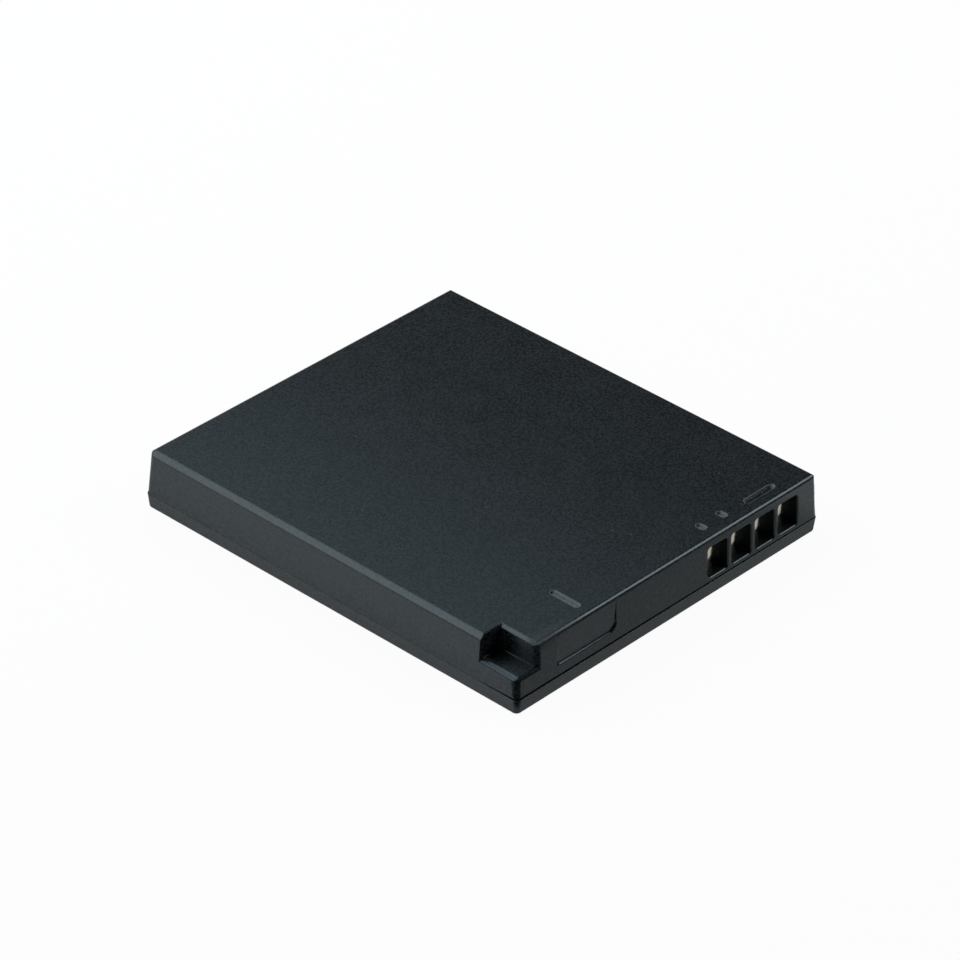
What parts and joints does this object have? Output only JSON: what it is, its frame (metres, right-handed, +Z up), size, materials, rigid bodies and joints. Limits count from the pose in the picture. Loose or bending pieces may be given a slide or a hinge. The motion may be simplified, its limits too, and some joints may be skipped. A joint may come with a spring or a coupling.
{
  "type": "camera battery",
  "caption": "Flat rectangular rechargeable camera battery pack: dark two-part plastic case with recessed contact windows and a key notch at one end, and a sealed cell inside.",
  "frame": {"origin": "middle of the bottom face, at the level of the surface it lies on", "axes": "+X across the width towards the contact windows, +Y along the length away from the contact end, +Z up through the thickness"},
  "size_m": [0.036, 0.041, 0.0055],
  "materials": {
    "case_plastic": "fine spark-eroded texture, near-black cool grey",
    "can_metal": "drawn, satin",
    "gasket_nylon": "moulded, natural colour",
    "nickel": "rolled strip, satin",
    "insulating_paper": "pressed grey-green insulating paper",
    "cutoff_plastic": "moulded",
    "tape": "double-sided film tape",
    "board_laminate": "green solder mask",
    "contact_gold": "pale gold plating, satin",
    "chip_plastic": "moulded package",
    "capacitor_ceramic": "fired chip",
    "resistor_ceramic": "glazed chip"
  },
  "bodies": {
    "root": {"upper_case": "case_plastic", "lower_case": "case_plastic", "cell_can": "can_metal", "cell_lid": "can_metal", "fill_plug": "can_metal", "terminal_gasket": "gasket_nylon", "negative_terminal": "nickel", "positive_strap": "nickel", "negative_strap": "nickel", "cutoff_lead": "nickel", "lid_insulator": "insulating_paper", "thermal_cutoff": "cutoff_plastic", "cell_tape": "tape", "circuit_board": "board_laminate", "contact_plus": "contact_gold", "contact_sense": "contact_gold", "contact_identity": "contact_gold", "contact_minus": "contact_gold", "protection_chip": "chip_plastic", "switch_chip": "chip_plastic", "chip_capacitors": "capacitor_ceramic", "chip_resistors": "resistor_ceramic", "thermistor": "resistor_ceramic"}
  },
  "joints": []
}
